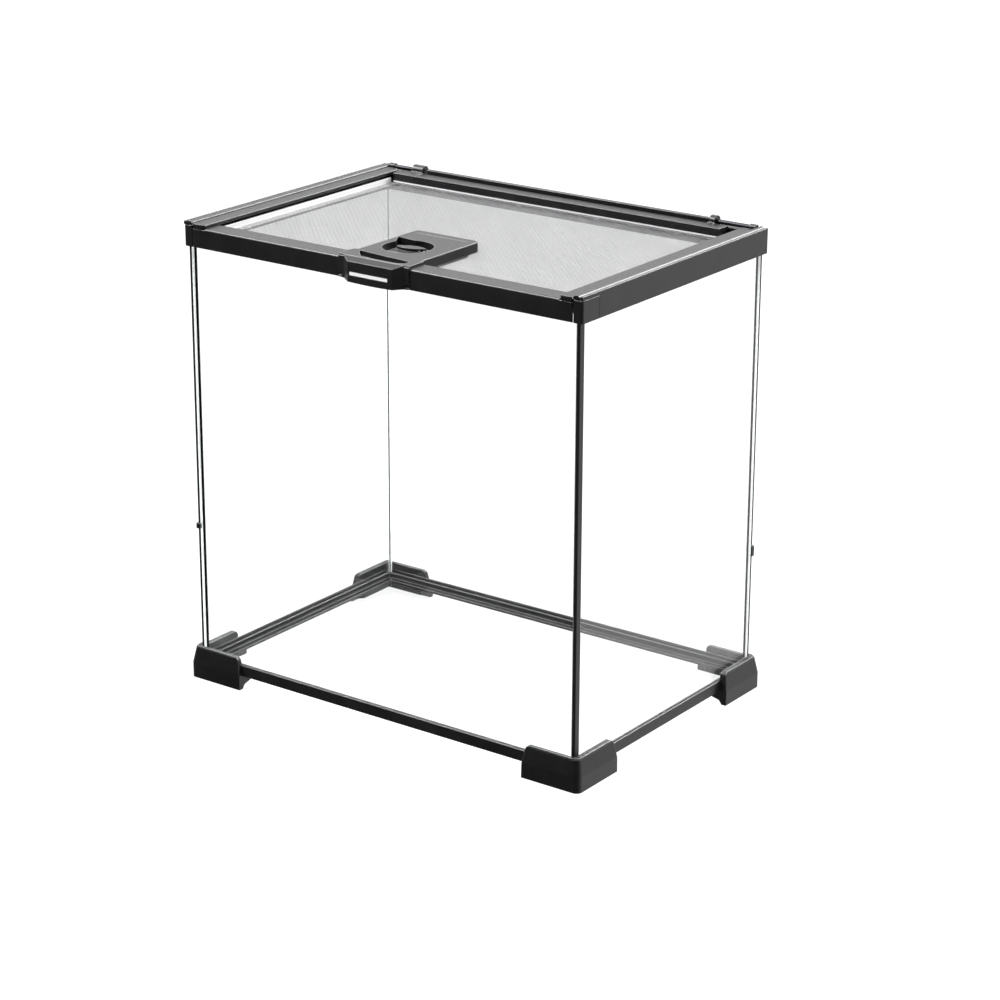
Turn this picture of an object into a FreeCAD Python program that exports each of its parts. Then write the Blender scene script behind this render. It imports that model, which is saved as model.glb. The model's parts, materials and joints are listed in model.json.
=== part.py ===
import FreeCAD, Part
import math
import os

# Glass-sided small-animal cage with a rear-hinged screen lid and a slide-bolt latch.
# Units are millimetres.  +Z is up and the front of the cage faces -Y.
# Profiles are drawn about the centre of the glass box; every part is then moved
# back by Y_SHIFT so that the origin sits under the centre of the whole envelope.

Y_SHIFT = 0.85

# ---- glass box ----------------------------------------------------------------
GLASS_X = 145.1          # outer face of the side panes
GLASS_Y = 97.5           # outer face of the front and rear panes
GLASS_T = 4.0
GLASS_Z0 = 10.4
GLASS_Z1 = 291.0
REAR_PANE_Z1 = 289.4     # the rear pane is lower, to clear the hinged edge of the lid
SEAL_T = 0.5             # black seal in the joint between two panes
SEAL_DEEP = 2.0          # the seal fills only the inner half of the joint
EDGE_BAR = 2.1           # black bar that caps the outer upright edge of a pane
BUTT = 0.1               # gap between a bar and the panes beside it
FRONT_PANE_END = GLASS_X - EDGE_BAR - BUTT
REAR_PANE_END = GLASS_X - GLASS_T - SEAL_T
SIDE_PANE_FRONT = -GLASS_Y + GLASS_T + SEAL_T
SIDE_PANE_REAR = GLASS_Y - EDGE_BAR - BUTT
FLOOR_T = 3.0
FLOOR_X = 139.2
FLOOR_Y = 91.6

# ---- feet ---------------------------------------------------------------------
FOOT_X = 151.2
FOOT_Y = 102.2
FOOT_WING = 41.2
FOOT_STEP_Z = 9.8        # the outer face leans inwards above this height
FOOT_TOP_Z = 21.0
FOOT_TAPER = 1.8
FOOT_CORNER_R = 4.0
FOOT_SHELF_Z1 = 8.6
FOOT_DEPTH = 13.6
FOOT_TREAD = 3.2         # width of the L-shaped strip that stands on the ground
FOOT_LIP_GAP = 0.2

# ---- bottom rails ---------------------------------------------------------------
RAIL_Z0 = 8.6
RAIL_Z1 = 16.0
RAIL_OUT = 98.9          # outer face of the front rail, from the centre
X_EXTRA = GLASS_X - GLASS_Y   # a side rail is the front rail's profile, this much wider
MITRE_GAP = 0.1

# ---- top frame ------------------------------------------------------------------
TOP_X = 147.5
TOP_Y = 98.75
TOP_Z0 = 284.4
TOP_LIP_Z = 300.2         # outer lip of the side rails
TOP_Z1 = 300.6           # round ridge beside the lip
LEDGE_Z0 = 288.6
LEDGE_Z1 = GLASS_Z1
FLANGE_IN = 131.5
FLANGE_Z0 = 296.2
FLANGE_Z1 = 299.2
FLANGE_REAR = 94.0
BLOCK_LEN = 16.5         # front corner blocks, along Y
BLOCK_IN = 141.0
BLOCK_Z1 = 297.7
BAR_END = 140.3          # half length of the front bar
BAR_REAR = -84.6
BAR_TOP = 296.9
BAR_TUCK_X = 131.2       # outboard of this the bar is lower, under the flange
BAR_TUCK_Z = 296.0
CUT_HALF = 26.3          # gap in the front bar that the latch sits in
LEDGE_IN_Y = -82.8

# ---- rear rail and hinge ----------------------------------------------------------
REAR_WALL_Z = 297.4
REAR_WALL_IN = 95.6      # inner face of the rear wall above the pane
REAR_LOW_Z = 295.2
RIDGE_Z = 301.2
RIDGE_LEFT = -109.5
RIDGE_RIGHT = 106.9
AXIS_Y = 96.9
AXIS_Z = 299.4
PIN_R = 1.5
PIN_FIT = 0.03           # pin in its boss, same body
PIN_RUN = 0.05           # pin in the turning knuckle
KNUCKLE_R = 3.8
KNUCKLE_L = (-120.5, -112.2)
KNUCKLE_R_X = (108.6, 112.6)
BOSS_R = 2.2
BOSS_X = (136.5, 140.9)

# ---- lid ----------------------------------------------------------------------------
LID_X = 131.0
LID_FRONT = -84.0
LID_REAR = 94.0
RIM_Z0 = 291.3
RIM_T = 0.6
RIM_W = 4.0
LIP_T = 0.6
LIP_Z1 = 295.4
SHEET_T = 0.6
SHEET_Z0 = RIM_Z0 + RIM_T
SHEET_Z1 = SHEET_Z0 + SHEET_T
STRIP_T = 0.9
BAR_Y0 = 84.8
BAR_Y1 = 94.5
BAR_Z1 = 298.6
HB_LEFT = -111.6
HB_RIGHT = 121.9
HBLOCK = (-129.2, -112.0)

# ---- latch ----------------------------------------------------------------------------
HOUSE_X = 23.75
HOUSE_REAR = -26.4
HOUSE_Z1 = 298.6
HOUSE_ROLL = 1.2
HOUSE_OVER_X = 26.0
HOUSE_OVER_Y = -84.9
HOUSE_OVER_Z0 = 291.3
NOSE_Y0 = -98.0
NOSE_BASE_Y = -99.4
NOSE_BASE_X = 22.0
NOSE_Y1 = -103.9
NOSE_X = 17.3
NOSE_LEFT = -15.6        # the left end of the front face is cut back further
NOSE_DROP = 2.2          # fall of the top towards the front face
NOSE_Z0 = 283.5
WELL_X = -2.5
WELL_Y = -63.0
WELL_R = 15.5
WELL_Z0 = 293.7
THUMB_R = 12.0
THUMB_Z0 = 294.0
THUMB_Z1 = 297.4
TOE_Z0 = 286.2
TOE_Z1 = 288.2
TOE_TIP_Y = -81.6
BOLT_TRAVEL = 5.0
NECK_HALF = 3.6
NECK_Y = (-72.0, -62.0)
PLATE_T = 1.6
SCREW_R = 1.0
LABEL_X = (-14.4, 13.8)
LABEL_Z = (288.2, 290.3)


# ---- helpers ----------------------------------------------------------------------------
def box(x0, x1, y0, y1, z0, z1):
    return Part.makeBox(x1 - x0, y1 - y0, z1 - z0, FreeCAD.Vector(x0, y0, z0))


def outline(points, place):
    """Closed wire through (a, b) or (a, b, corner radius) points."""
    pts = [(p[0], p[1], p[2] if len(p) > 2 else 0.0) for p in points]
    n = len(pts)
    corners = []
    for i in range(n):
        a = pts[i - 1]
        b = pts[i]
        c = pts[(i + 1) % n]
        if b[2] <= 0:
            corners.append([(b[0], b[1])])
            continue
        ux, uy = a[0] - b[0], a[1] - b[1]
        vx, vy = c[0] - b[0], c[1] - b[1]
        lu, lv = math.hypot(ux, uy), math.hypot(vx, vy)
        ux, uy, vx, vy = ux / lu, uy / lu, vx / lv, vy / lv
        half = math.acos(max(-1.0, min(1.0, ux * vx + uy * vy))) / 2
        cut = b[2] / math.tan(half)
        reach = b[2] / math.sin(half)
        mx, my = ux + vx, uy + vy
        ml = math.hypot(mx, my)
        mid = (b[0] + mx / ml * (reach - b[2]), b[1] + my / ml * (reach - b[2]))
        corners.append([(b[0] + ux * cut, b[1] + uy * cut), mid,
                        (b[0] + vx * cut, b[1] + vy * cut)])
    edges = []
    for i in range(n):
        here = corners[i]
        ahead = corners[(i + 1) % n]
        if len(here) == 3:
            edges.append(Part.Arc(*[place(q) for q in here]).toShape())
        start = place(here[-1])
        end = place(ahead[0])
        if start.distanceToPoint(end) > 1e-6:
            edges.append(Part.makeLine(start, end))
    return Part.Wire(edges)


def along_x(points, x0, x1):
    """Extrude a (y, z) outline from x0 to x1."""
    face = Part.Face(outline(points, lambda q: FreeCAD.Vector(x0, q[0], q[1])))
    return face.extrude(FreeCAD.Vector(x1 - x0, 0, 0))


def along_y(points, y0, y1):
    """Extrude an (x, z) outline from y0 to y1."""
    face = Part.Face(outline(points, lambda q: FreeCAD.Vector(q[0], y0, q[1])))
    return face.extrude(FreeCAD.Vector(0, y1 - y0, 0))


def along_z(points, z0, z1):
    """Extrude an (x, y) outline from z0 to z1."""
    face = Part.Face(outline(points, lambda q: FreeCAD.Vector(q[0], q[1], z0)))
    return face.extrude(FreeCAD.Vector(0, 0, z1 - z0))


def cyl_x(r, x0, x1, y, z):
    return Part.makeCylinder(r, x1 - x0, FreeCAD.Vector(x0, y, z), FreeCAD.Vector(1, 0, 0))


def cyl_z(r, x, y, z0, z1):
    return Part.makeCylinder(r, z1 - z0, FreeCAD.Vector(x, y, z0), FreeCAD.Vector(0, 0, 1))


def flip_x(shape):
    return shape.mirror(FreeCAD.Vector(0, 0, 0), FreeCAD.Vector(1, 0, 0))


def flip_y(shape):
    return shape.mirror(FreeCAD.Vector(0, 0, 0), FreeCAD.Vector(0, 1, 0))


def fuse(first, *others):
    out = first
    for other in others:
        out = out.fuse(other)
    return out.removeSplitter()


NODES = {}


def keep(name, shape):
    NODES[name] = shape


# ---- feet ---------------------------------------------------------------------------------
def foot_front_right():
    far = 5.0
    x_end = FOOT_X - FOOT_WING
    y_end = -FOOT_Y + FOOT_WING
    lower = along_z([(x_end, y_end), (x_end, -FOOT_Y), (FOOT_X, -FOOT_Y, FOOT_CORNER_R), (FOOT_X, y_end)],
                    0, FOOT_STEP_Z)
    rings = []
    for z, inset in ((FOOT_STEP_Z, 0.0), (FOOT_TOP_Z - 0.9, FOOT_TAPER), (FOOT_TOP_Z, FOOT_TAPER + 0.6)):
        pts = [(x_end, y_end), (x_end, -FOOT_Y + inset),
               (FOOT_X - inset, -FOOT_Y + inset, FOOT_CORNER_R), (FOOT_X - inset, y_end)]
        rings.append(outline(pts, lambda q, z=z: FreeCAD.Vector(q[0], q[1], z)))
    upper = Part.makeLoft(rings, True, True)
    body = fuse(lower, upper)
    # room for the panes above the rail tops
    body = body.cut(box(x_end - far, GLASS_X + 0.3, -GLASS_Y - 0.3, y_end + far, RAIL_Z1 + 0.5, FOOT_TOP_Z + far))
    # room for the rails above the shelf
    body = body.cut(box(x_end - far, RAIL_OUT + X_EXTRA + FOOT_LIP_GAP,
                        -RAIL_OUT - FOOT_LIP_GAP, y_end + far, FOOT_SHELF_Z1, RAIL_Z1 + 0.5))
    # L-shaped plan: nothing inside the corner
    body = body.cut(box(x_end - far, FOOT_X - FOOT_DEPTH, -FOOT_Y + FOOT_DEPTH, y_end + far,
                        -far, FOOT_TOP_Z + far))
    # the underside rises from the tread to the inner edge of the shelf
    rise = [(FOOT_TREAD, -1.0), (FOOT_TREAD, 0.0), (FOOT_TREAD + 2.0, 2.7, 0.8), (FOOT_TREAD + 4.4, 3.2, 0.5),
            (FOOT_DEPTH, 4.8), (FOOT_WING + far, 4.9), (FOOT_WING + far, -1.0)]
    under_front = along_x([(-FOOT_Y + q[0],) + q[1:] for q in rise], x_end - far, FOOT_X + far)
    under_side = along_y([(FOOT_X - q[0],) + q[1:] for q in rise], -FOOT_Y - far, y_end + far)
    body = body.cut(under_front.common(under_side))
    # leaning, rounded wing ends
    shape = [(0.0, 0.0), (0.2, FOOT_STEP_Z - 0.4, 2.0), (2.3, FOOT_TOP_Z, 2.8),
             (FOOT_WING + far, FOOT_TOP_Z), (FOOT_WING + far, 0.0)]
    front_mask = along_y([(x_end + q[0],) + q[1:] for q in shape], -FOOT_Y - far, -FOOT_Y + FOOT_DEPTH)
    side_mask = along_x([(y_end - q[0],) + q[1:] for q in shape], FOOT_X - FOOT_DEPTH, FOOT_X + far)
    return fuse(body.common(front_mask), body.common(side_mask))


foot = foot_front_right()
keep("foot_front_right", foot)
keep("foot_front_left", flip_x(foot))
keep("foot_rear_right", flip_y(foot))
keep("foot_rear_left", flip_x(flip_y(foot)))


# ---- bottom rails ---------------------------------------------------------------------------
# Outer lip, glass channel, inner lip and a ledge that carries the floor pane.
# Listed as (distance out from the centre, height) for the front rail.
rail_profile = [
    (RAIL_OUT, RAIL_Z0, 0.4), (RAIL_OUT, RAIL_Z1, 0.7), (GLASS_Y + 0.2, RAIL_Z1, 0.3),
    (GLASS_Y + 0.2, GLASS_Z0), (GLASS_Y - GLASS_T - 0.2, GLASS_Z0),
    (GLASS_Y - GLASS_T - 0.2, 15.0, 0.3), (92.0, 15.0, 0.3), (92.0, GLASS_Z0),
    (88.0, GLASS_Z0), (88.0, RAIL_Z0),
]
LONG = 200.0


def mitred(profile, extra, gap):
    """Front-type rail: profile at distance out from centre, ends cut at 45 degrees."""
    solid = along_x([(-p[0],) + tuple(p[1:]) for p in profile], -LONG, LONG)
    reach = 150.0
    wedge = along_z([(-extra - gap * -1.0, 0.0), (extra - gap, 0.0),
                     (extra - gap + reach, -reach), (-extra + gap - reach, -reach)], 0, 320)
    return solid.common(wedge)


front_rail = mitred(rail_profile, X_EXTRA, MITRE_GAP)
keep("bottom_rail_front", front_rail)
keep("bottom_rail_rear", flip_y(front_rail))


def side_rail_bottom():
    solid = along_y([(p[0] + X_EXTRA,) + tuple(p[1:]) for p in rail_profile], -LONG, LONG)
    reach = 150.0
    wedge = along_z([(X_EXTRA + MITRE_GAP, 0.0), (X_EXTRA + MITRE_GAP + reach, -reach),
                     (X_EXTRA + MITRE_GAP + reach, reach)], 0, 40)
    return solid.common(wedge)


right_rail = side_rail_bottom()
keep("bottom_rail_right", right_rail)
keep("bottom_rail_left", flip_x(right_rail))

# ---- panes and seals ----------------------------------------------------------------------------
keep("floor_pane", box(-FLOOR_X, FLOOR_X, -FLOOR_Y, FLOOR_Y, GLASS_Z0, GLASS_Z0 + FLOOR_T))
front_pane = box(-FRONT_PANE_END, FRONT_PANE_END, -GLASS_Y, -GLASS_Y + GLASS_T, GLASS_Z0, GLASS_Z1)
keep("glass_front", front_pane)
keep("glass_rear", box(-REAR_PANE_END, REAR_PANE_END, GLASS_Y - GLASS_T, GLASS_Y, GLASS_Z0, REAR_PANE_Z1))
PANE_IN_X = GLASS_X - GLASS_T
side_pane = box(PANE_IN_X, GLASS_X, SIDE_PANE_FRONT, SIDE_PANE_REAR, GLASS_Z0, GLASS_Z1)
keep("glass_right", side_pane)
keep("glass_left", flip_x(side_pane))
seal = box(PANE_IN_X, PANE_IN_X + SEAL_DEEP, -GLASS_Y + GLASS_T, SIDE_PANE_FRONT, GLASS_Z0, GLASS_Z1)
keep("seal_front_right", seal)
keep("seal_front_left", flip_x(seal))
rear_seal = box(REAR_PANE_END, PANE_IN_X, GLASS_Y - GLASS_T, GLASS_Y - GLASS_T + SEAL_DEEP, GLASS_Z0, REAR_PANE_Z1)
keep("seal_rear_right", rear_seal)
keep("seal_rear_left", flip_x(rear_seal))
# a front bar caps the end of the front pane, a rear bar the outer half of a side pane's end
front_edge = along_z([(GLASS_X - EDGE_BAR, -GLASS_Y), (GLASS_X, -GLASS_Y, 0.7),
                      (GLASS_X, SIDE_PANE_FRONT - BUTT), (GLASS_X - EDGE_BAR + BUTT, SIDE_PANE_FRONT - BUTT),
                      (GLASS_X - EDGE_BAR + BUTT, -GLASS_Y + GLASS_T), (GLASS_X - EDGE_BAR, -GLASS_Y + GLASS_T)],
                     GLASS_Z0, GLASS_Z1)
keep("edge_bar_front_right", front_edge)
keep("edge_bar_front_left", flip_x(front_edge))
rear_edge = along_z([(GLASS_X - EDGE_BAR, SIDE_PANE_REAR + BUTT), (GLASS_X, SIDE_PANE_REAR + BUTT),
                     (GLASS_X, GLASS_Y, 0.7), (GLASS_X - EDGE_BAR, GLASS_Y)], GLASS_Z0, GLASS_Z1)
keep("edge_bar_rear_right", rear_edge)
keep("edge_bar_rear_left", flip_x(rear_edge))


def corner_clip(z0, z1):
    """Small black clip hugging the outer edge of the front right corner."""
    t = 0.8
    clip = box(GLASS_X - 2.2, GLASS_X + t, -GLASS_Y - t, -GLASS_Y + 2.2, z0, z1)
    return clip.cut(fuse(front_edge, side_pane, front_pane))


keep("corner_clip_front_left", flip_x(corner_clip(101.0, 104.6)))
keep("corner_clip_rear_right", flip_y(corner_clip(88.6, 95.4)))

# ---- top frame: side rails ------------------------------------------------------------------------
# Outer lip, groove, raised ridge, groove and a flat flange reaching in over the lid edge.
rail_top = [
    (TOP_X, TOP_LIP_Z, 0.6), (146.3, TOP_LIP_Z, 0.4), (146.2, 298.0), (145.5, 298.0),
    (145.4, TOP_Z1, 2.0), (141.0, TOP_Z1, 2.0), (140.9, 298.3), (140.4, 298.3),
    (140.3, FLANGE_Z1, 0.2), (FLANGE_IN, FLANGE_Z1, 0.9), (FLANGE_IN, FLANGE_Z0, 1.2),
]
full_profile = [(TOP_X, TOP_Z0)] + rail_top + [
    (138.2, FLANGE_Z0), (138.2, LEDGE_Z1), (130.0, LEDGE_Z1), (130.0, LEDGE_Z0),
    (PANE_IN_X, LEDGE_Z0), (PANE_IN_X, GLASS_Z1), (GLASS_X + 0.2, GLASS_Z1), (GLASS_X + 0.2, TOP_Z0),
]
cap_profile = [(TOP_X, BLOCK_Z1 + 0.2)] + rail_top + [
    (139.9, FLANGE_Z0), (139.9, BLOCK_Z1 + 0.2),
]
SEAM_Y = -TOP_Y + BLOCK_LEN


def top_side_rail():
    rail = fuse(along_y(full_profile, SEAM_Y + 0.2, TOP_Y), along_y(cap_profile, -TOP_Y, SEAM_Y + 0.2))
    # the flange stops short of the hinge pin, with a rounded inner corner
    rail = rail.cut(box(FLANGE_IN - 1, 138.2, FLANGE_REAR, TOP_Y + 1, FLANGE_Z0 - 0.01, TOP_Z1 + 1))
    rail = rail.cut(box(138.1, 140.95, FLANGE_REAR, TOP_Y + 1, 285.0, TOP_Z1 + 1))
    rail = rail.cut(box(129.0, 138.3, GLASS_Y - GLASS_T - 1.7, TOP_Y + 1, 285.0, FLANGE_Z0))
    rail = rail.cut(box(129.0, PANE_IN_X, GLASS_Y - GLASS_T - 1.7, TOP_Y + 1, 285.0, 291.2))
    r = 3.0
    corner = box(FLANGE_IN - 1, FLANGE_IN + r, FLANGE_REAR - r, FLANGE_REAR + 1, FLANGE_Z0, TOP_Z1 + 1)
    round_off = cyl_z(r, FLANGE_IN + r, FLANGE_REAR - r, FLANGE_Z0 - 1, TOP_Z1 + 2)
    rail = rail.cut(corner.cut(round_off))
    # front end of the flange is rounded in plan
    tongue = box(FLANGE_IN - 1, FLANGE_IN + 2, -TOP_Y - 1, -TOP_Y + 2, FLANGE_Z0 - 0.5, TOP_Z1 + 1)
    round_off = cyl_z(2.0, FLANGE_IN + 2, -TOP_Y + 2, FLANGE_Z0 - 1, TOP_Z1 + 2)
    return rail.cut(tongue.cut(round_off)).removeSplitter()


top_right = top_side_rail()
keep("top_rail_right", top_right)
keep("top_rail_left", flip_x(top_right))


def corner_block():
    block = along_z([(BLOCK_IN, -TOP_Y, 0.5), (TOP_X, -TOP_Y, 1.4), (TOP_X, SEAM_Y), (BLOCK_IN, SEAM_Y)],
                    TOP_Z0, BLOCK_Z1)
    room = box(BLOCK_IN - 1, GLASS_X + 0.2, -GLASS_Y - 0.2, SEAM_Y + 1, TOP_Z0 - 1, GLASS_Z1)
    return block.cut(room)


block_right = corner_block()
keep("corner_block_right", block_right)
keep("corner_block_left", flip_x(block_right))


# ---- top frame: front bar ---------------------------------------------------------------------------
def front_bar():
    profile = [
        (-TOP_Y, TOP_Z0, 0.4), (-TOP_Y, BAR_TOP, 1.6), (BAR_REAR, BAR_TOP, 0.8), (BAR_REAR, LEDGE_Z1),
        (LEDGE_IN_Y, LEDGE_Z1), (LEDGE_IN_Y, LEDGE_Z0), (-GLASS_Y + GLASS_T, LEDGE_Z0),
        (-GLASS_Y + GLASS_T, GLASS_Z1), (-GLASS_Y - 0.2, GLASS_Z1), (-GLASS_Y - 0.2, TOP_Z0),
    ]
    bar = along_x(profile, -BAR_END, BAR_END)
    for side in (-1, 1):
        a, b = sorted((side * BAR_TUCK_X, side * (BAR_END + 1)))
        bar = bar.cut(box(a, b, -TOP_Y - 1, BAR_REAR + 1, BAR_TUCK_Z, TOP_Z1))
    bar = bar.cut(box(-CUT_HALF, CUT_HALF, -TOP_Y - 1, BAR_REAR + 0.5, GLASS_Z1, TOP_Z1))
    return bar.cut(box(-CUT_HALF, CUT_HALF, -TOP_Y - 1, -GLASS_Y, TOP_Z0 - 1, TOP_Z1)).removeSplitter()


keep("top_rail_front", front_bar())


# ---- top frame: rear rail and hinge pins ---------------------------------------------------------------
def rear_rail():
    end = BLOCK_IN - 0.1
    lip_y = GLASS_Y - GLASS_T - 0.2
    wall = [
        (TOP_Y, TOP_Z0, 0.4), (TOP_Y, REAR_WALL_Z, 0.6), (REAR_WALL_IN, REAR_WALL_Z, 0.4),
        (REAR_WALL_IN, LEDGE_Z1), (lip_y - 1.4, LEDGE_Z1), (lip_y - 1.4, TOP_Z0 + 0.6, 0.4),
        (lip_y, TOP_Z0 + 0.6, 0.4), (lip_y, REAR_PANE_Z1), (GLASS_Y + 0.2, REAR_PANE_Z1),
        (GLASS_Y + 0.2, TOP_Z0),
    ]
    rail = along_x(wall, -end, end)
    # clear of the side panes at both ends
    for side in (-1, 1):
        a, b = sorted((side * (GLASS_X - GLASS_T), side * (end + 1)))
        rail = rail.cut(box(a, b, 81.0, GLASS_Y + 0.2, TOP_Z0 - 1, LEDGE_Z1))
    ridge = along_x([(TOP_Y, 292.0), (TOP_Y, RIDGE_Z, 1.3), (REAR_WALL_IN, RIDGE_Z, 1.0), (REAR_WALL_IN, 292.0)],
                    RIDGE_LEFT, RIDGE_RIGHT)
    rail = rail.fuse(ridge)
    for a, b in (KNUCKLE_L, KNUCKLE_R_X):
        rail = rail.cut(box(a - 0.8, b + 0.8, REAR_WALL_IN - 1.1, TOP_Y + 1, REAR_LOW_Z, TOP_Z1 + 2))
    for a, b in (BOSS_X, (-BOSS_X[1], -BOSS_X[0])):
        upright = box(a, b, AXIS_Y - 1.2, TOP_Y, 292.0, AXIS_Z)
        crown = cyl_x(BOSS_R, a, b, AXIS_Y, AXIS_Z).common(box(a, b, AXIS_Y - 3, TOP_Y, AXIS_Z - 3, AXIS_Z + 3))
        rail = rail.fuse(upright).fuse(crown)
        rail = rail.cut(cyl_x(PIN_R + PIN_FIT, a - 1, b + 1, AXIS_Y, AXIS_Z))
    return rail.removeSplitter()


keep("top_rail_rear", rear_rail())
keep("hinge_pin_left", cyl_x(PIN_R, -BOSS_X[1], KNUCKLE_L[1] + 0.4, AXIS_Y, AXIS_Z))
keep("hinge_pin_right", cyl_x(PIN_R, KNUCKLE_R_X[0] - 0.4, BOSS_X[1], AXIS_Y, AXIS_Z))


# ---- lid: screen, rim and hinge bar -----------------------------------------------------------------------
def screen_rim():
    ring = box(-LID_X, LID_X, LID_FRONT, LID_REAR, RIM_Z0, RIM_Z0 + RIM_T)
    ring = ring.cut(box(-LID_X + RIM_W, LID_X - RIM_W, LID_FRONT + RIM_W, LID_REAR - RIM_W, 290, 293))
    lip = box(LID_X - LIP_T, LID_X, LID_FRONT, BAR_Y0 - 1.0, RIM_Z0, LIP_Z1)
    return fuse(ring, lip, flip_x(lip))


keep("screen_rim", screen_rim())
sheet = box(-LID_X + LIP_T + 0.1, LID_X - LIP_T - 0.1, LID_FRONT + 0.1, LID_REAR, SHEET_Z0, SHEET_Z1)
slot = box(-NECK_HALF - 0.4, NECK_HALF + 0.4, NECK_Y[0] - BOLT_TRAVEL - 0.5, NECK_Y[1] + 0.5, 280, 299)
screw_at = [(-17.5, -38.0), (17.5, -38.0), (-19.0, -78.5), (19.0, -78.5)]
for sx, sy in screw_at:
    sheet = sheet.cut(cyl_z(SCREW_R + 0.1, sx, sy, 280, 296.2))
bar_screws = [-124.0, -90.0, -30.0, 30.0, 90.0]
BAR_SCREW_Y = 87.4
for sx in bar_screws:
    sheet = sheet.cut(cyl_z(SCREW_R + 0.1, sx, BAR_SCREW_Y, 280, 300))
keep("screen_sheet", sheet.cut(slot))

STRIP_Z0 = SHEET_Z1
STRIP_Z1 = SHEET_Z1 + STRIP_T
strip = box(HBLOCK[0], HB_RIGHT, BAR_Y0 - 0.3, BAR_Y1 - 0.6, STRIP_Z0, STRIP_Z1)
for sx in bar_screws:
    strip = strip.cut(cyl_z(SCREW_R + 0.1, sx, BAR_SCREW_Y, 280, 300))
keep("hinge_strip", strip)

bar_profile = [(BAR_Y0, STRIP_Z1), (BAR_Y0, BAR_Z1, 0.8), (BAR_Y1, BAR_Z1, 0.5), (BAR_Y1, STRIP_Z1)]


def knuckle(a, b):
    arm = box(a, b, BAR_Y1 - 3.0, AXIS_Y, AXIS_Z - KNUCKLE_R, AXIS_Z)
    return arm.fuse(cyl_x(KNUCKLE_R, a, b, AXIS_Y, AXIS_Z))


def hinge_piece(x0, x1, span):
    piece = fuse(along_x(bar_profile, x0, x1), knuckle(*span))
    piece = piece.cut(cyl_x(PIN_R + PIN_RUN, span[0] - 1, span[1] + 1, AXIS_Y, AXIS_Z))
    for sx in bar_screws:
        if x0 < sx < x1:
            piece = piece.cut(cyl_z(SCREW_R + 0.1, sx, BAR_SCREW_Y, 290, 296.2))
    return piece.removeSplitter()


keep("hinge_bar", hinge_piece(HB_LEFT, HB_RIGHT, KNUCKLE_R_X))
keep("hinge_block_left", hinge_piece(HBLOCK[0], HBLOCK[1], KNUCKLE_L))


def screw(x, y, head_top, tip):
    """Pan-head screw driven upwards from below."""
    head = cyl_z(1.9, x, y, head_top - 1.1, head_top)
    drive = cyl_z(0.7, x, y, head_top - 1.2, head_top - 0.5)
    return fuse(head, cyl_z(SCREW_R, x, y, head_top - 0.2, tip)).cut(drive)


# the clamp plate lies inside the rim, under the screen
clamp = box(HBLOCK[0] + 3.0, 120.0, BAR_Y0 + 0.6, LID_REAR - RIM_W - 0.2, RIM_Z0, SHEET_Z0)
for sx in bar_screws:
    clamp = clamp.cut(cyl_z(SCREW_R + 0.1, sx, BAR_SCREW_Y, 280, 300))

# ---- latch ---------------------------------------------------------------------------------------------------
HOUSE_Z0 = SHEET_Z1


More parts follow.
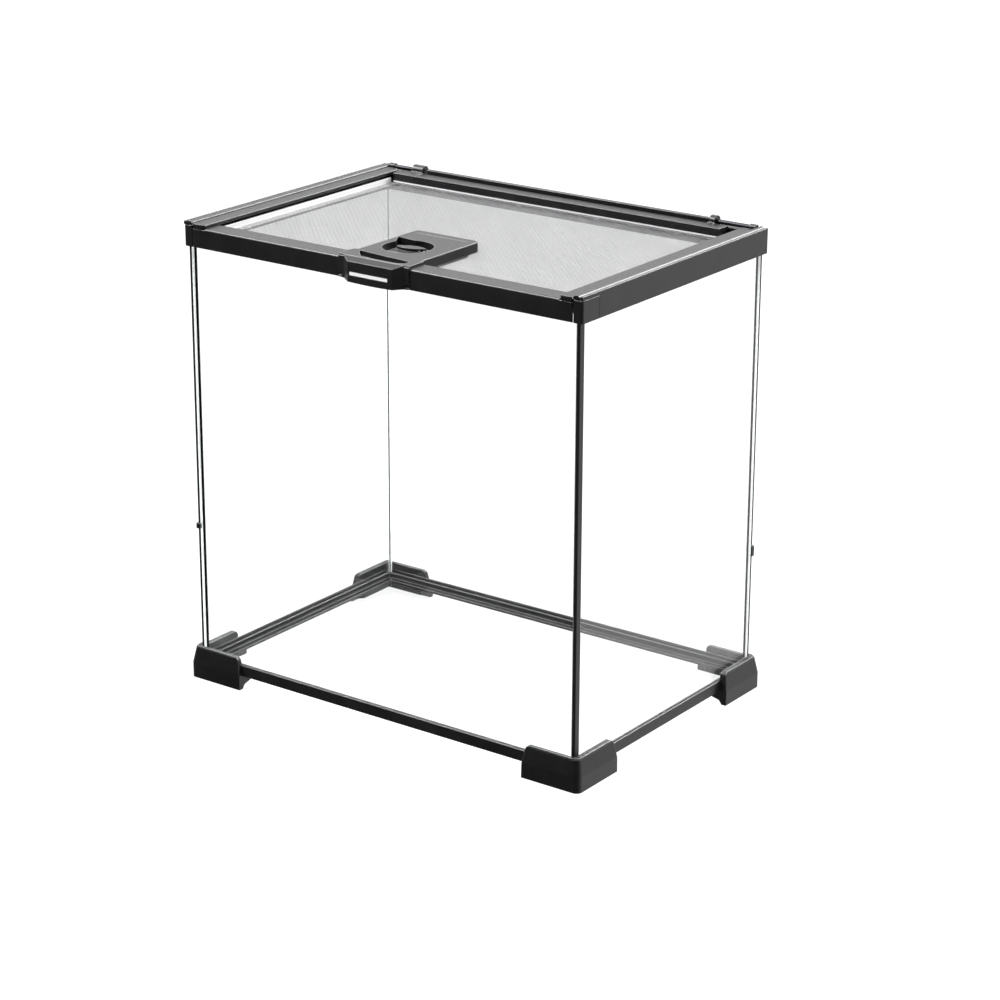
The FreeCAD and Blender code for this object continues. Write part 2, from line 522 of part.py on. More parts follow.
def latch_housing():
    plate = along_z([(-HOUSE_X, HOUSE_OVER_Y), (HOUSE_X, HOUSE_OVER_Y), (HOUSE_X, HOUSE_REAR, 4.0),
                     (-HOUSE_X, HOUSE_REAR, 4.0)], HOUSE_Z0, HOUSE_Z1)
    # the top edge is rolled over on the flanks and the tail
    rolled = [e for e in plate.Edges
              if e.BoundBox.ZMin > HOUSE_Z1 - 0.01 and e.BoundBox.YMax > HOUSE_OVER_Y + 0.01]
    plate = plate.makeFillet(HOUSE_ROLL, rolled)
    over = box(-HOUSE_OVER_X, HOUSE_OVER_X, -TOP_Y, HOUSE_OVER_Y, HOUSE_OVER_Z0, HOUSE_Z1)
    over = over.cut(box(-HOUSE_OVER_X - 1, -HOUSE_X, BAR_REAR - 0.3, HOUSE_OVER_Y + 1, 290, HOUSE_Z1 + 1))
    base = box(-HOUSE_OVER_X, HOUSE_OVER_X, NOSE_BASE_Y, NOSE_Y0, NOSE_Z0, HOUSE_Z1 - 1.0)
    nose = along_z([(-NOSE_BASE_X, NOSE_BASE_Y + 0.5), (-NOSE_BASE_X, NOSE_BASE_Y), (NOSE_LEFT, NOSE_Y1, 0.6),
                    (NOSE_X, NOSE_Y1, 0.6), (NOSE_BASE_X, NOSE_BASE_Y), (NOSE_BASE_X, NOSE_BASE_Y + 0.5)],
                   NOSE_Z0, HOUSE_Z1)
    # top slopes gently down to the front edge, underside curves up a little at the ends
    slope = along_x([(NOSE_BASE_Y + 1.0, NOSE_Z0 - 1), (NOSE_BASE_Y + 1.0, HOUSE_Z1),
                     (NOSE_Y1, HOUSE_Z1 - NOSE_DROP, 0.7), (NOSE_Y1 - 0.001, NOSE_Z0 + 0.7), (NOSE_Y1 + 1.0, NOSE_Z0 - 1)],
                    -30, 30)
    shape = fuse(plate, over, base, nose.common(slope))
    belly_r = 300.0
    belly = Part.makeCylinder(belly_r, 12, FreeCAD.Vector(0, NOSE_Y1 - 1, NOSE_Z0 + belly_r),
                              FreeCAD.Vector(0, 1, 0))
    under = box(-30, 30, NOSE_Y1 - 1, NOSE_Y0 + 1, NOSE_Z0 - 1, NOSE_Z0 + 3).cut(belly)
    shape = shape.cut(under)
    # small square dimple low on each flank
    for side in (-1, 1):
        a, b = sorted((side * (HOUSE_OVER_X - 2.2), side * (HOUSE_OVER_X + 1)))
        shape = shape.cut(box(a, b, NOSE_BASE_Y - 1, NOSE_BASE_Y + 0.7, 285.6, 287.8))
    # scored line across the tail
    shape = shape.cut(box(-19.0, 19.0, -33.4, -32.8, HOUSE_Z1 - 0.5, HOUSE_Z1 + 1))
    # round well for the thumb slide, running out to the left flank at the rear
    well = cyl_z(WELL_R, WELL_X, WELL_Y, WELL_Z0, HOUSE_Z1 + 1)
    run_out = along_z([(-22.3, -47.0, 1.0), (-8.0, -48.6), (-8.0, -57.0), (-15.0, -60.0)], WELL_Z0, HOUSE_Z1 + 1)
    shape = shape.cut(fuse(well, run_out))
    # finger scoop: D-shaped in plan, its floor falls away from the front edge
    scoop_plan = along_z([(-20.5, -87.0, 1.5), (-9.0, -80.6, 10.0), (9.0, -79.8, 12.0), (19.0, -85.5, 6.0),
                          (20.5, -97.6, 2.0), (-10.5, -97.6, 1.5)], 290, HOUSE_Z1 + 1)
    scoop_r = 120.0
    floor = Part.makeCylinder(scoop_r, 40, FreeCAD.Vector(-7.0, -110.0, HOUSE_Z1 + scoop_r + 0.9),
                              FreeCAD.Vector(0.1, 1, -0.15))
    shape = shape.cut(scoop_plan.common(floor))
    for sx, sy in screw_at:
        shape = shape.cut(cyl_z(SCREW_R + 0.1, sx, sy, 290, 295.6))
    # recess for the blank label strip
    a, b = LABEL_X
    shape = shape.cut(box(a, b, NOSE_Y1 - 1, NOSE_Y1 + 0.5, LABEL_Z[0], LABEL_Z[1]))
    return shape.cut(slot).removeSplitter()


housing = latch_housing()
keep("latch_housing", housing)
keep("latch_label", along_y([(LABEL_X[0], LABEL_Z[0], 1.0), (LABEL_X[1], LABEL_Z[0], 1.0),
                             (LABEL_X[1], LABEL_Z[1], 1.0), (LABEL_X[0], LABEL_Z[1], 1.0)],
                            NOSE_Y1 + 0.1, NOSE_Y1 + 0.5))

# clamp plate under the screen
PLATE_Z0 = SHEET_Z0 - PLATE_T
under_plate = along_z([(-22.0, -79.9), (22.0, -79.9), (22.0, -34.0, 3.0), (-22.0, -34.0, 3.0)], PLATE_Z0, SHEET_Z0)
for sx, sy in screw_at:
    under_plate = under_plate.cut(cyl_z(SCREW_R + 0.1, sx, sy, 280, 296))
keep("latch_clamp_plate", under_plate.cut(slot))
keep("latch_screws", Part.makeCompound([screw(sx, sy, PLATE_Z0, 295.4) for sx, sy in screw_at]))
keep("hinge_clamp_plate", clamp)
keep("hinge_screws", Part.makeCompound([screw(sx, BAR_SCREW_Y, RIM_Z0, 296.0) for sx in bar_screws]))


# thumb slide: low disc with one straight side, a lens-shaped vane and two finger ribs
def thumb_slide():
    disc = cyl_z(THUMB_R, WELL_X, WELL_Y, THUMB_Z0, THUMB_Z0 + 1.4)
    disc = disc.cut(box(-30, 30, -90, WELL_Y - 5.0, 290, 299))
    vane_plan = cyl_z(16.0, WELL_X + 2.0, WELL_Y - 8.5, THUMB_Z0, THUMB_Z1)
    vane_plan = vane_plan.common(cyl_z(16.0, WELL_X - 3.0, WELL_Y + 16.5, THUMB_Z0, THUMB_Z1))
    vane_plan = vane_plan.common(cyl_z(THUMB_R - 0.3, WELL_X, WELL_Y, THUMB_Z0, THUMB_Z1))
    shape = fuse(disc, vane_plan)
    for offset in (6.6, 9.4):
        rib = cyl_z(offset + 0.7, WELL_X, WELL_Y, THUMB_Z0, THUMB_Z0 + 2.4)
        rib = rib.cut(cyl_z(offset, WELL_X, WELL_Y, 290, 299))
        rib = rib.common(box(WELL_X - 1.0, WELL_X + 12.0, WELL_Y + 1.0, WELL_Y + 12.0, 290, 299))
        shape = shape.fuse(rib)
    neck = box(-NECK_HALF, NECK_HALF, NECK_Y[0], NECK_Y[1], TOE_Z1, THUMB_Z0 + 1.0)
    return shape.fuse(neck).cut(cyl_z(SCREW_R + 0.1, 0, -67.0, 280, 293.2)).removeSplitter()


keep("latch_thumb_slide", thumb_slide())
toe = along_z([(-8.0, TOE_TIP_Y, 1.0), (8.0, TOE_TIP_Y, 1.0), (8.0, -58.0, 2.0), (-8.0, -58.0, 2.0)],
              TOE_Z0, TOE_Z1)
keep("latch_bolt", toe.cut(cyl_z(SCREW_R + 0.1, 0, -67.0, 280, 299)))
keep("latch_bolt_screw", screw(0.0, -67.0, TOE_Z0, 293.0))

# ---- write one STEP file per node -------------------------------------------------------------------------------
os.makedirs("parts", exist_ok=True)
for name in sorted(NODES):
    shape = NODES[name].copy()
    shape.translate(FreeCAD.Vector(0, Y_SHIFT, 0))
    shape.exportStep("parts/" + name + ".step")
    b = shape.BoundBox
    print("%-26s solids %d valid %s vol %9.1f  x %.2f..%.2f y %.2f..%.2f z %.2f..%.2f" % (
        name, len(shape.Solids), shape.isValid(), shape.Volume,
        b.XMin, b.XMax, b.YMin, b.YMax, b.ZMin, b.ZMax))
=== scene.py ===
import json
import math
import bpy
from mathutils import Matrix, Vector


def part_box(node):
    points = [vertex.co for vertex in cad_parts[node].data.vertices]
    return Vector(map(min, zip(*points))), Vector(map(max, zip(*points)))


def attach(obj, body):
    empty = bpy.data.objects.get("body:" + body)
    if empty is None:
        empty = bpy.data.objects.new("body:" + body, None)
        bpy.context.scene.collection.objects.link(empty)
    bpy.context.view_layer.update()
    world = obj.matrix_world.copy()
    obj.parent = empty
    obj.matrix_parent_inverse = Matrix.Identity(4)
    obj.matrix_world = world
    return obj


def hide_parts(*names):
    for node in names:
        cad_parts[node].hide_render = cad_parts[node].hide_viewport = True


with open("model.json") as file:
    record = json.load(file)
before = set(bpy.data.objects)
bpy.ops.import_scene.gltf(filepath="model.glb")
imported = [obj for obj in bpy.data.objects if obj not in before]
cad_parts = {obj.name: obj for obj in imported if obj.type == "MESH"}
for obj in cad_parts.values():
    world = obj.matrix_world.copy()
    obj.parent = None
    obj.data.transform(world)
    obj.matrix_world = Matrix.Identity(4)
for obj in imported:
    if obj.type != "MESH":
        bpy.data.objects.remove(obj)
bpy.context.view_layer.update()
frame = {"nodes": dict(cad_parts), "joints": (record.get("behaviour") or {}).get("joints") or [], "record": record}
nodes = frame["nodes"]
MM = 0.001

# ---- camera -------------------------------------------------------------------------------
CAMERA_AT = Vector((1.02431, -1.38215, 0.72761))
CAMERA_RIGHT = Vector((0.80828181, 0.58878397, 0.0037355))
CAMERA_UP = Vector((-0.19810262, 0.26596962, 0.94340634))
CAMERA_LENS = 104.70
SENSOR_WIDTH = 36.0
CLIP_END = 50.0

# ---- light --------------------------------------------------------------------------------
FLOOR_REACH = 14.0
FLOOR_GLOW = 1.04
FLOOR_DIFFUSE = 0.12
MIRROR_FROM = 0.0
MIRROR_TO = 0.25
MIRROR_GLOW = 0.9
SKY_BACK = 1.2
SKY_FRONT = 0.02
SKY_TURN = (-0.45, 0.55)
SKY_TOP = 0.9
TOP_TURN = (0.55, 0.95)
BOX_GLOW = 3.0
BOX_LOW = 0.36
BOX_HIGH = 0.80
BOX_SOFT = 0.10
BOX_TURN = (0.30, 0.55)
BACKDROP = 1.4
KEY_POWER = 9.0
KEY_AT = (0.2, 0.1, 1.6)
KEY_AIM = (0.0, 0.0, 0.2)
STRIP_POWER = 24.0
STRIP_SIDE = 0.5
FRONT_STRIP_AT = (-0.68, -0.37, 1.2)
SIDE_STRIP_AT = (0.5, 1.15, 1.15)
STRIP_AIM = (0.0, 0.0, 0.3)

# ---- finishes -----------------------------------------------------------------------------
NOISE_SPAN = (0.3, 0.7)
# painted glow on the glass panes' cut edges
EDGE_GLOW = 0.45
# painted highlight on the plastic's upward-facing edges: its pale grey, and how far it is blended in
EDGE_SHEEN = (0.34, 0.34, 0.342)
EDGE_HIGHLIGHT_AMOUNT = 0.9
SHARP_SPAN = (0.995, 0.92)
UPWARD_SPAN = (0.15, 0.5)
PANE_FACE = 0.9

# ---- woven screen -------------------------------------------------------------------------
WIRE_PITCH = 1.8 * MM
WIRE_R = 0.14 * MM
WIRE_SWING = 0.15 * MM
WIRE_CORNERS = (0.785, 2.356, 3.927, 5.498)
SLOT_MARGIN = 0.6 * MM


# ---- node helpers -------------------------------------------------------------------------
class Tree:
    """A material's node tree with short calls for the nodes used here."""

    def __init__(self, name):
        self.mat = bpy.data.materials.new(name)
        self.mat.use_nodes = True
        self.nt = self.mat.node_tree
        self.nt.nodes.clear()
        self.out = self.nt.nodes.new("ShaderNodeOutputMaterial")
        self.coords = self.nt.nodes.new("ShaderNodeTexCoord")

    def link(self, a, b):
        self.nt.links.new(a, b)

    def new(self, kind, **values):
        node = self.nt.nodes.new(kind)
        for key, value in values.items():
            setattr(node, key, value)
        return node

    def shader(self, **sockets):
        node = self.new("ShaderNodeBsdfPrincipled")
        for key, value in sockets.items():
            node.inputs[key.replace("_", " ")].default_value = value
        self.link(node.outputs["BSDF"], self.out.inputs["Surface"])
        return node

    def scaled(self, scale):
        """Object coordinates stretched by scale, an (x, y, z) triple."""
        node = self.new("ShaderNodeMapping")
        node.inputs["Scale"].default_value = scale
        self.link(self.coords.outputs["Object"], node.inputs["Vector"])
        return node.outputs["Vector"]

    def noise(self, scale, detail=3.0, roughness=0.55, stretch=(1.0, 1.0, 1.0)):
        node = self.new("ShaderNodeTexNoise")
        node.inputs["Scale"].default_value = scale
        node.inputs["Detail"].default_value = detail
        node.inputs["Roughness"].default_value = roughness
        self.link(self.scaled(stretch), node.inputs["Vector"])
        return node.outputs["Fac"]

    def remap(self, value, low, high, to_low, to_high):
        node = self.new("ShaderNodeMapRange")
        node.inputs["From Min"].default_value = low
        node.inputs["From Max"].default_value = high
        node.inputs["To Min"].default_value = to_low
        node.inputs["To Max"].default_value = to_high
        self.link(value, node.inputs["Value"])
        return node.outputs["Result"]

    def blend(self, fac, a, b):
        """Colour a to colour b by fac. Each may be a colour triple or a socket."""
        node = self.new("ShaderNodeMix", data_type="RGBA")
        self.link(fac, node.inputs["Factor"])
        for name, value in (("A", a), ("B", b)):
            socket = [s for s in node.inputs if s.name == name and s.type == "RGBA"][0]
            if isinstance(value, tuple):
                socket.default_value = (*value, 1.0)
            else:
                self.link(value, socket)
        return [s for s in node.outputs if s.type == "RGBA"][0]

    def maths(self, operation, a, b=0.5, clamp=False):
        node = self.new("ShaderNodeMath", operation=operation, use_clamp=clamp)
        for socket, value in zip(node.inputs, (a, b)):
            if isinstance(value, float):
                socket.default_value = value
            else:
                self.link(value, socket)
        return node.outputs[0]

    def mixed(self, fac, first, second):
        node = self.new("ShaderNodeMixShader")
        self.link(fac, node.inputs["Fac"])
        self.link(first, node.inputs[1])
        self.link(second, node.inputs[2])
        return node.outputs["Shader"]

    def rounded_normal(self, radius):
        node = self.new("ShaderNodeBevel", samples=6)
        node.inputs["Radius"].default_value = radius
        return node.outputs["Normal"]

    def bump(self, height, strength, distance, normal=None):
        node = self.new("ShaderNodeBump")
        node.inputs["Strength"].default_value = strength
        node.inputs["Distance"].default_value = distance
        self.link(height, node.inputs["Height"])
        if normal is not None:
            self.link(normal, node.inputs["Normal"])
        return node.outputs["Normal"]

    def upper_edges(self, radius):
        """1 on sharp edges that look upwards, 0 on flats and on lower edges."""
        geometry = self.new("ShaderNodeNewGeometry")
        rounded = self.rounded_normal(radius)
        dot = self.new("ShaderNodeVectorMath", operation="DOT_PRODUCT")
        self.link(rounded, dot.inputs[0])
        self.link(geometry.outputs["Normal"], dot.inputs[1])
        sharp = self.remap(dot.outputs["Value"], *SHARP_SPAN, 0.0, 1.0)
        parts = self.new("ShaderNodeSeparateXYZ")
        self.link(rounded, parts.inputs[0])
        return self.maths("MULTIPLY", sharp, self.remap(parts.outputs["Z"], *UPWARD_SPAN, 0.0, 1.0))


# ---- materials ----------------------------------------------------------------------------
def moulded_plastic(name, dark, light, rough, gloss, grain=2600.0, strength=0.12):
    """Black moulded plastic: fine spark-eroded grain, slow mottling, soft edges, and a painted highlight on its
    upward-facing edges.
    """
    round_edge = 0.6 * MM
    t = Tree(name)
    s = t.shader(IOR=1.5, Specular_IOR_Level=gloss)
    mottle = t.noise(55.0, 4.0)
    fine = t.noise(grain, 2.0)
    speck = t.noise(grain * 0.3, 3.0)
    body = t.blend(t.remap(mottle, *NOISE_SPAN, 0.0, 1.0), dark, light)
    # painted highlight: sharp edges that face upwards are blended toward a pale grey in the base colour
    edge_highlighted = t.blend(t.maths("MULTIPLY", t.upper_edges(round_edge), EDGE_HIGHLIGHT_AMOUNT), body, EDGE_SHEEN)
    t.link(edge_highlighted, s.inputs["Base Color"])
    t.link(t.remap(speck, *NOISE_SPAN, rough - 0.05, rough + 0.06), s.inputs["Roughness"])
    t.link(t.bump(fine, strength, 0.06 * MM, t.rounded_normal(round_edge)), s.inputs["Normal"])
    return t.mat


def brushed_steel(name, dark, light, rough, along=(1.0, 12.0, 12.0), grain=900.0, strength=0.08,
                  metal=1.0):
    """Sheet steel with rolling marks along one direction. A metal under 1 is a dull zinc coat."""
    t = Tree(name)
    s = t.shader(Metallic=metal)
    lines = t.noise(grain, 4.0, 0.6, along)
    cloud = t.noise(70.0, 3.0)
    streaks = t.maths("MULTIPLY_ADD", lines, 0.6)
    t.link(t.maths("MULTIPLY", cloud, 0.4), streaks.node.inputs[2])
    t.link(t.blend(t.remap(streaks, *NOISE_SPAN, 0.0, 1.0), dark, light), s.inputs["Base Color"])
    t.link(t.remap(lines, *NOISE_SPAN, rough - 0.06, rough + 0.08), s.inputs["Roughness"])
    t.link(t.bump(lines, strength, 0.03 * MM, t.rounded_normal(0.15 * MM)), s.inputs["Normal"])
    return t.mat


def clear_glass(name, ior, thin_axis=None):
    """Float glass: clear faces with a trace of dust. With a thin_axis, its cut edges are pale frosted and carry a
    painted glow.

    Shadow rays pass it as clear, so that lamps light what stands behind a pane."""
    t = Tree(name)
    s = t.shader(IOR=ior, Transmission_Weight=1.0)
    dust = t.noise(38.0, 5.0, 0.7)
    tint = t.blend(t.remap(dust, 0.35, 0.7, 0.0, 1.0), (0.985, 0.992, 0.99), (0.975, 0.984, 0.981))
    t.link(tint, s.inputs["Base Color"])
    t.link(t.remap(dust, 0.45, 0.75, 0.0, 0.02), s.inputs["Roughness"])
    path = t.new("ShaderNodeLightPath")
    gap = t.new("ShaderNodeBsdfTransparent")
    pane = t.mixed(path.outputs["Is Shadow Ray"], s.outputs["BSDF"], gap.outputs["BSDF"])
    if thin_axis is None:
        t.link(pane, t.out.inputs["Surface"])
        return t.mat
    cut = t.new("ShaderNodeBsdfPrincipled")
    cut.inputs["Roughness"].default_value = 0.35
    # painted glow: the cut edges emit their pale frosted colour, so they read bright whatever the lamps do
    cut.inputs["Emission Strength"].default_value = EDGE_GLOW
    frost_and_glow = t.blend(t.noise(900.0, 3.0), (0.84, 0.88, 0.87), (0.94, 0.96, 0.955))
    t.link(frost_and_glow, cut.inputs["Base Color"])
    t.link(frost_and_glow, cut.inputs["Emission Color"])
    axis = t.new("ShaderNodeVectorMath", operation="DOT_PRODUCT")
    axis.inputs[1].default_value = thin_axis
    t.link(t.coords.outputs["Normal"], axis.inputs[0])
    edge = t.maths("LESS_THAN", t.maths("ABSOLUTE", axis.outputs["Value"]), PANE_FACE)
    t.link(t.mixed(edge, pane, cut.outputs["BSDF"]), t.out.inputs["Surface"])
    return t.mat


def rubber_seal(name):
    """Black sealing strip with a dull, slightly dusty skin."""
    t = Tree(name)
    s = t.shader(IOR=1.45)
    cloud = t.noise(120.0, 4.0)
    skin = t.blend(t.remap(cloud, *NOISE_SPAN, 0.0, 1.0), (0.006, 0.006, 0.006), (0.012, 0.012, 0.013))
    t.link(skin, s.inputs["Base Color"])
    t.link(t.remap(cloud, *NOISE_SPAN, 0.45, 0.6), s.inputs["Roughness"])
    t.link(t.bump(t.noise(1800.0, 2.0), 0.1, 0.04 * MM), s.inputs["Normal"])
    return t.mat


def printed_label(name):
    """Blank pale label strip with faint paper fibre."""
    t = Tree(name)
    s = t.shader(IOR=1.46)
    fibre = t.noise(1500.0, 5.0, 0.7, (1.0, 1.0, 4.0))
    paper_tint = t.blend(t.remap(fibre, *NOISE_SPAN, 0.0, 1.0), (0.80, 0.80, 0.79), (0.90, 0.90, 0.89))
    t.link(paper_tint, s.inputs["Base Color"])
    t.link(t.remap(fibre, *NOISE_SPAN, 0.4, 0.55), s.inputs["Roughness"])
    t.link(t.bump(fibre, 0.08, 0.02 * MM), s.inputs["Normal"])
    return t.mat


black_frame = moulded_plastic("black_frame", (0.007, 0.007, 0.0075), (0.012, 0.012, 0.0125),
                              rough=0.34, gloss=0.42)
black_latch = moulded_plastic("black_latch", (0.008, 0.008, 0.0085), (0.013, 0.013, 0.0135),
                              rough=0.37, gloss=0.37, grain=3200.0, strength=0.08)
black_pin = brushed_steel("black_pin", (0.03, 0.03, 0.033), (0.05, 0.05, 0.055),
                          rough=0.38, along=(1.0, 8.0, 8.0))
bright_steel = brushed_steel("bright_steel", (0.84, 0.84, 0.845), (0.95, 0.95, 0.955),
                             rough=0.52, metal=0.35)
screw_steel = brushed_steel("screw_steel", (0.50, 0.50, 0.51), (0.68, 0.68, 0.69),
                            rough=0.32, along=(4.0, 4.0, 1.0))
wire_steel = brushed_steel("wire_steel", (0.12, 0.12, 0.121), (0.20, 0.20, 0.202),
                           rough=0.38, along=(1.0, 1.0, 1.0), grain=1400.0, strength=0.05)
seal_black = rubber_seal("seal_black")
label_white = printed_label("label_white")
glass_x = clear_glass("glass_side", 1.5, (1.0, 0.0, 0.0))
glass_y = clear_glass("glass_front_rear", 1.5, (0.0, 1.0, 0.0))
glass_z = clear_glass("glass_floor", 1.1)

FINISH = {
    "clear_glass": None,
    "black_plastic": black_frame,
    "black_seal": seal_black,
    "steel_screen": bright_steel,
    "sheet_steel": bright_steel,
    "screw_steel": screw_steel,
    "black_steel": black_pin,
    "blank_label": label_white,
}
OWN_FINISH = {
    "glass_left": glass_x,
    "glass_right": glass_x,
    "glass_front": glass_y,
    "glass_rear": glass_y,
    "floor_pane": glass_z,
    "latch_housing": black_latch,
    "latch_thumb_slide": black_latch,
}
slot_of = {part["node"]: part["material_slot"] for part in frame["record"]["subparts"]}
for name, obj in nodes.items():
    obj.data.materials.clear()
    obj.data.materials.append(OWN_FINISH.get(name) or FINISH[slot_of[name]])


# ---- woven screen -------------------------------------------------------------------------
def woven_wires(name, along, across, z_mid, lines, stations, phase, gap):
    """Parallel wires that run along one axis and pass over and under the crossing set.

    lines are the wires' places on the across axis, stations the crossings on the along axis.
    gap is an (x0, x1, y0, y1) opening that no wire enters."""
    ring = [(math.cos(a), math.sin(a)) for a in WIRE_CORNERS]
    verts = []
    faces = []
    for i, place in enumerate(lines):
        previous = None
        for j, at in enumerate(stations):
            spot = [0.0, 0.0]
            spot[along] = at
            spot[across] = place
            if gap[0] < spot[0] < gap[1] and gap[2] < spot[1] < gap[3]:
                previous = None
                continue
            height = z_mid + WIRE_SWING * (1 if (i + j + phase) % 2 == 0 else -1)
            first = len(verts)
            for side, rise in ring:
                p = [0.0, 0.0, height + WIRE_R * rise]
                p[along] = at
                p[across] = place + WIRE_R * side
                verts.append(p)
            if previous is None:
                faces.append((first, first + 1, first + 2, first + 3))
            else:
                for k in range(4):
                    m = (k + 1) % 4
                    faces.append((previous + k, previous + m, first + m, first + k))
            previous = first
    mesh = bpy.data.meshes.new(name)
    mesh.from_pydata(verts, [], faces)
    mesh.polygons.foreach_set("use_smooth", [True] * len(mesh.polygons))
    mesh.materials.append(wire_steel)
    obj = bpy.data.objects.new(name, mesh)
    bpy.context.scene.collection.objects.link(obj)
    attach(obj, "lid")
    return obj


sheet_lo, sheet_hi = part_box("screen_sheet")
stem = [v.co for v in nodes["latch_thumb_slide"].data.vertices if v.co.z < sheet_hi.z]
travel = frame["joints"][1]["range_m"][1]
slot_gap = (
    min(p.x for p in stem) - SLOT_MARGIN,
    max(p.x for p in stem) + SLOT_MARGIN,
    min(p.y for p in stem) - travel - SLOT_MARGIN,
    max(p.y for p in stem) + SLOT_MARGIN,
)


def places(low, high):
    count = int((high - low - 2 * WIRE_R) / WIRE_PITCH)
    start = (low + high - count * WIRE_PITCH) / 2
    return [start + k * WIRE_PITCH for k in range(count + 1)]


x_places = places(sheet_lo.x, sheet_hi.x)
y_places = places(sheet_lo.y, sheet_hi.y)
sheet_mid = (sheet_lo.z + sheet_hi.z) / 2
warp = woven_wires("screen_warp", 1, 0, sheet_mid, x_places, y_places, 0, slot_gap)
weft = woven_wires("screen_weft", 0, 1, sheet_mid, y_places, x_places, 1, slot_gap)
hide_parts("screen_sheet")
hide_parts("screen_sheet")

# ---- floor --------------------------------------------------------------------------------
floor_mesh = bpy.data.meshes.new("studio_floor")
floor_corners = [(FLOOR_REACH * x, FLOOR_REACH * y, 0) for x, y in ((-1, -1), (1, -1), (1, 1), (-1, 1))]
floor_mesh.from_pydata(floor_corners, [], [(0, 1, 2, 3)])
floor = bpy.data.objects.new("studio_floor", floor_mesh)
bpy.context.scene.collection.objects.link(floor)
floor.visible_glossy = False
paper = Tree("paper_floor")
dim = paper.new("ShaderNodeBsdfDiffuse")
tone = paper.noise(3.0, 2.0)
paper.link(paper.blend(tone, (FLOOR_DIFFUSE,) * 3, (FLOOR_DIFFUSE * 1.05,) * 3), dim.inputs["Color"])
glow = paper.new("ShaderNodeEmission")
paper_path = paper.new("ShaderNodeLightPath")
paper_xyz = paper.new("ShaderNodeSeparateXYZ")
paper.link(paper.coords.outputs["Object"], paper_xyz.inputs[0])
# straight views see the paper glow everywhere; mirrored ones see it only behind the cage
direct = paper.maths("LESS_THAN", paper_path.outputs["Glossy Depth"], 0.5)
behind = paper.remap(paper_xyz.outputs["Y"], MIRROR_FROM, MIRROR_TO, 0.0, MIRROR_GLOW)
strength = paper.maths("MULTIPLY", paper.maths("MAXIMUM", direct, behind), FLOOR_GLOW)
paper.link(strength, glow.inputs["Strength"])
both = paper.new("ShaderNodeAddShader")
paper.link(dim.outputs["BSDF"], both.inputs[0])
paper.link(glow.outputs["Emission"], both.inputs[1])
paper.link(both.outputs["Shader"], paper.out.inputs["Surface"])
floor_mesh.materials.append(paper.mat)

# ---- world --------------------------------------------------------------------------------
world = bpy.data.worlds.new("studio")
bpy.context.scene.world = world
world.use_nodes = True
wt = world.node_tree
wt.nodes.clear()
w_out = wt.nodes.new("ShaderNodeOutputWorld")
w_back = wt.nodes.new("ShaderNodeBackground")
w_dir = wt.nodes.new("ShaderNodeTexCoord")
w_xyz = wt.nodes.new("ShaderNodeSeparateXYZ")
wt.links.new(w_dir.outputs["Generated"], w_xyz.inputs[0])


def w_ramp(value, low, high, to_low, to_high):
    node = wt.nodes.new("ShaderNodeMapRange")
    node.interpolation_type = "SMOOTHSTEP"
    node.inputs["From Min"].default_value = low
    node.inputs["From Max"].default_value = high
    node.inputs["To Min"].default_value = to_low
    node.inputs["To Max"].default_value = to_high
    wt.links.new(value, node.inputs["Value"])
    return node.outputs["Result"]


def w_maths(operation, a, b):
    node = wt.nodes.new("ShaderNodeMath")
    node.operation = operation
    wt.links.new(a, node.inputs[0])
    wt.links.new(b, node.inputs[1])
    return node.outputs[0]


# dark in front, pale behind and overhead, with one bright soft box up behind the cage
back_side = w_ramp(w_xyz.outputs["Y"], *SKY_TURN, SKY_FRONT, SKY_BACK)
overhead = w_ramp(w_xyz.outputs["Z"], *TOP_TURN, 0.0, SKY_TOP)
box_low = w_ramp(w_xyz.outputs["Z"], BOX_LOW, BOX_LOW + BOX_SOFT, 0.0, BOX_GLOW)
box_high = w_ramp(w_xyz.outputs["Z"], BOX_HIGH, BOX_HIGH + BOX_SOFT, 1.0, 0.0)
box_back = w_ramp(w_xyz.outputs["Y"], *BOX_TURN, 0.0, 1.0)
box = w_maths("MULTIPLY", w_maths("MULTIPLY", box_low, box_high), box_back)
sky = w_maths("MAXIMUM", back_side, overhead)
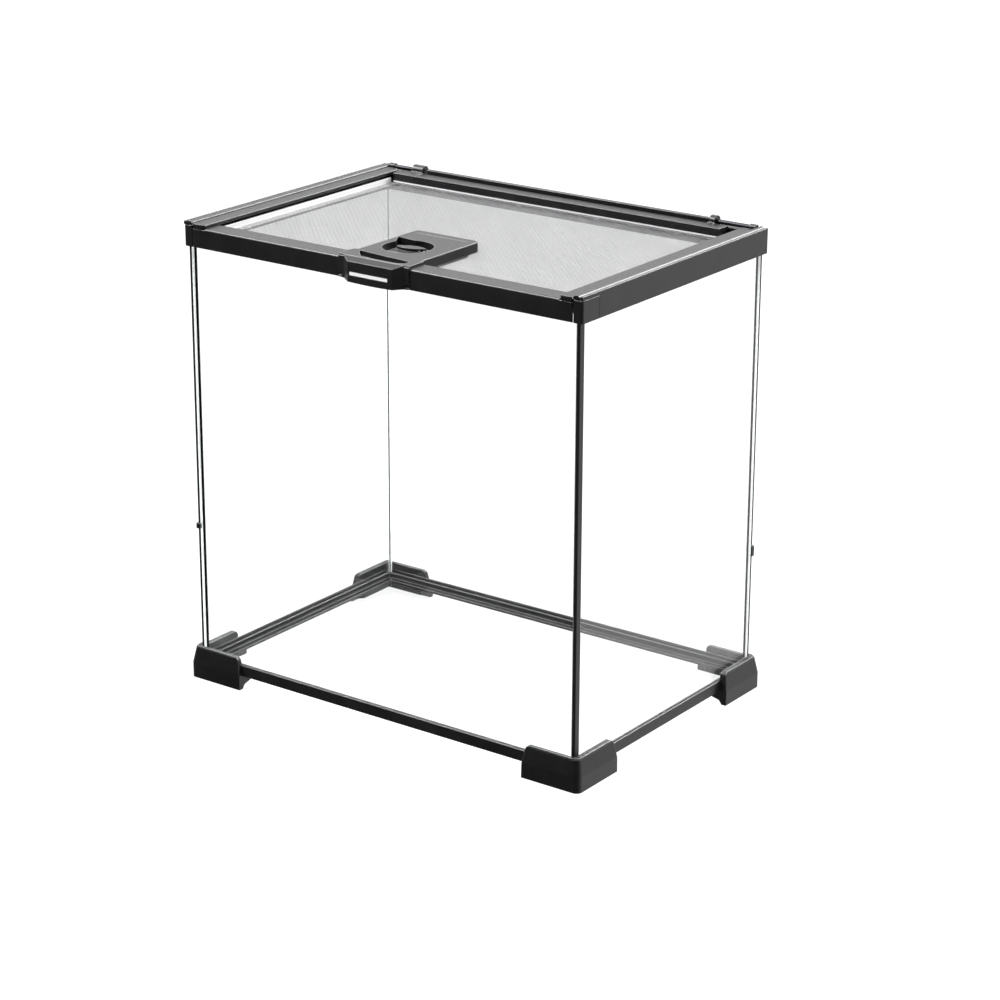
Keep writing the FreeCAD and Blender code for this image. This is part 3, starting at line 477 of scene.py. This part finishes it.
# the backdrop itself is pale: straight rays, and rays that only passed through panes, see it
w_path = wt.nodes.new("ShaderNodeLightPath")
turned = w_maths("ADD", w_path.outputs["Glossy Depth"], w_path.outputs["Diffuse Depth"])
through = w_maths("MULTIPLY", w_path.outputs["Is Transmission Ray"], w_ramp(turned, 0.0, 1.0, 1.0, 0.0))
straight = w_maths("MAXIMUM", w_path.outputs["Is Camera Ray"], through)
lighting = w_maths("MULTIPLY", w_maths("ADD", sky, box), w_ramp(straight, 0.0, 1.0, 1.0, 0.0))
backdrop = w_ramp(straight, 0.0, 1.0, 0.0, BACKDROP)
wt.links.new(w_maths("ADD", backdrop, lighting), w_back.inputs["Strength"])
wt.links.new(w_back.outputs["Background"], w_out.inputs["Surface"])


# ---- lamps --------------------------------------------------------------------------------
def soft_box(name, at, target, width, height, power):
    lamp = bpy.data.lights.new(name, "AREA")
    lamp.shape = "RECTANGLE"
    lamp.size = width
    lamp.size_y = height
    lamp.energy = power
    obj = bpy.data.objects.new(name, lamp)
    obj.location = at
    obj.rotation_mode = "QUATERNION"
    obj.rotation_quaternion = (Vector(target) - Vector(at)).to_track_quat("-Z", "Y")
    bpy.context.scene.collection.objects.link(obj)
    return obj


soft_box("key", KEY_AT, KEY_AIM, 1.2, 0.5, KEY_POWER)
soft_box("front_edge_light", FRONT_STRIP_AT, STRIP_AIM, STRIP_SIDE, STRIP_SIDE, STRIP_POWER)
soft_box("side_edge_light", SIDE_STRIP_AT, STRIP_AIM, STRIP_SIDE, STRIP_SIDE, STRIP_POWER)

# ---- camera -------------------------------------------------------------------------------
cam_data = bpy.data.cameras.new("camera")
cam_data.sensor_fit = "HORIZONTAL"
cam_data.sensor_width = SENSOR_WIDTH
cam_data.lens = CAMERA_LENS
cam_data.clip_end = CLIP_END
cam = bpy.data.objects.new("camera", cam_data)
bpy.context.scene.collection.objects.link(cam)
back = CAMERA_RIGHT.cross(CAMERA_UP)
turn = Matrix((CAMERA_RIGHT, CAMERA_UP, back)).transposed()
cam.matrix_world = Matrix.Translation(CAMERA_AT) @ turn.to_4x4()
bpy.context.scene.camera = cam
bpy.context.scene.view_settings.view_transform = "Standard"
